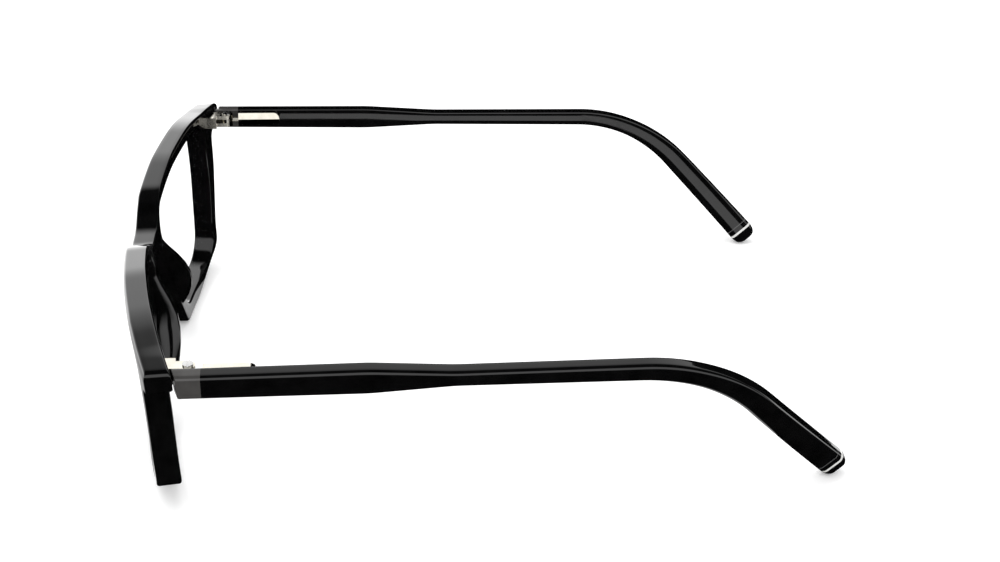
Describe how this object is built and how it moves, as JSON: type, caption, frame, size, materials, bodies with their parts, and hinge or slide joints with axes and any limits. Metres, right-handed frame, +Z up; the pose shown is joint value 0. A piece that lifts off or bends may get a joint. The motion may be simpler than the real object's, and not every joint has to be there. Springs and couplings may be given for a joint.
{
  "type": "eyeglasses",
  "caption": "Full-rim rectangular eyeglasses in glossy black acetate with clear lenses, built-up nose pads, slim bent temples and spring hinges.",
  "frame": {"origin": "on the table under the middle of the open glasses: the centre of the bottom of its bounding box", "axes": "+Z up, +X to the wearer's left, -Y the way the wearer looks, temples run to +Y"},
  "size_m": [0.129, 0.1542, 0.0432],
  "materials": {
    "acetate": "polished black acetate",
    "acetate_grey": "polished dark grey acetate",
    "stripe_grey": "polished grey inlay",
    "ring_white": "polished white acetate",
    "lens": "clear, polished",
    "nickel_silver": "polished nickel silver",
    "screw_steel": "bright",
    "spring_steel": "drawn wire",
    "core_wire": "drawn wire"
  },
  "bodies": {
    "front": {"front_frame": "acetate", "lens_left": "lens", "lens_right": "lens", "nose_pad_left": "acetate", "nose_pad_right": "acetate", "front_hinge_left": "nickel_silver", "front_hinge_right": "nickel_silver", "hinge_screw_left": "screw_steel", "hinge_screw_right": "screw_steel"},
    "slider_left": {"spring_slider_left": "nickel_silver", "coil_spring_left": "spring_steel"},
    "temple_left": {"spring_case_left": "nickel_silver", "slider_stop_left": "nickel_silver", "temple_end_left": "acetate_grey", "temple_left": "acetate", "core_wire_left": "core_wire", "tip_stripe_left": "stripe_grey", "tip_band_left": "acetate", "tip_ring_left": "ring_white", "tip_cap_left": "acetate"},
    "slider_right": {"spring_slider_right": "nickel_silver", "coil_spring_right": "spring_steel"},
    "temple_right": {"spring_case_right": "nickel_silver", "slider_stop_right": "nickel_silver", "temple_end_right": "acetate_grey", "temple_right": "acetate", "core_wire_right": "core_wire", "tip_stripe_right": "stripe_grey", "tip_band_right": "acetate", "tip_ring_right": "ring_white", "tip_cap_right": "acetate"}
  },
  "joints": [
    {"name": "fold_left", "type": "hinge", "parent": "front", "child": "slider_left", "pos_m": [0.0592, -0.05946, 0.0379], "axis": [0, 0.0316, 0.9995], "range_deg": [-3, 89.9]},
    {"name": "slide_left", "type": "slide", "parent": "slider_left", "child": "temple_left", "axis": [0, 0.9995, -0.0316], "range_m": [0, 0.0007], "stiffness_N_per_m": 900, "springref_m": -0.001, "deforming": ["coil_spring_left"]},
    {"name": "fold_right", "type": "hinge", "parent": "front", "child": "slider_right", "pos_m": [-0.0592, -0.05946, 0.0379], "axis": [0, -0.0316, -0.9995], "range_deg": [-3, 84]},
    {"name": "slide_right", "type": "slide", "parent": "slider_right", "child": "temple_right", "axis": [0, 0.9995, -0.0316], "range_m": [0, 0.0007], "stiffness_N_per_m": 900, "springref_m": -0.001, "deforming": ["coil_spring_right"]}
  ]
}
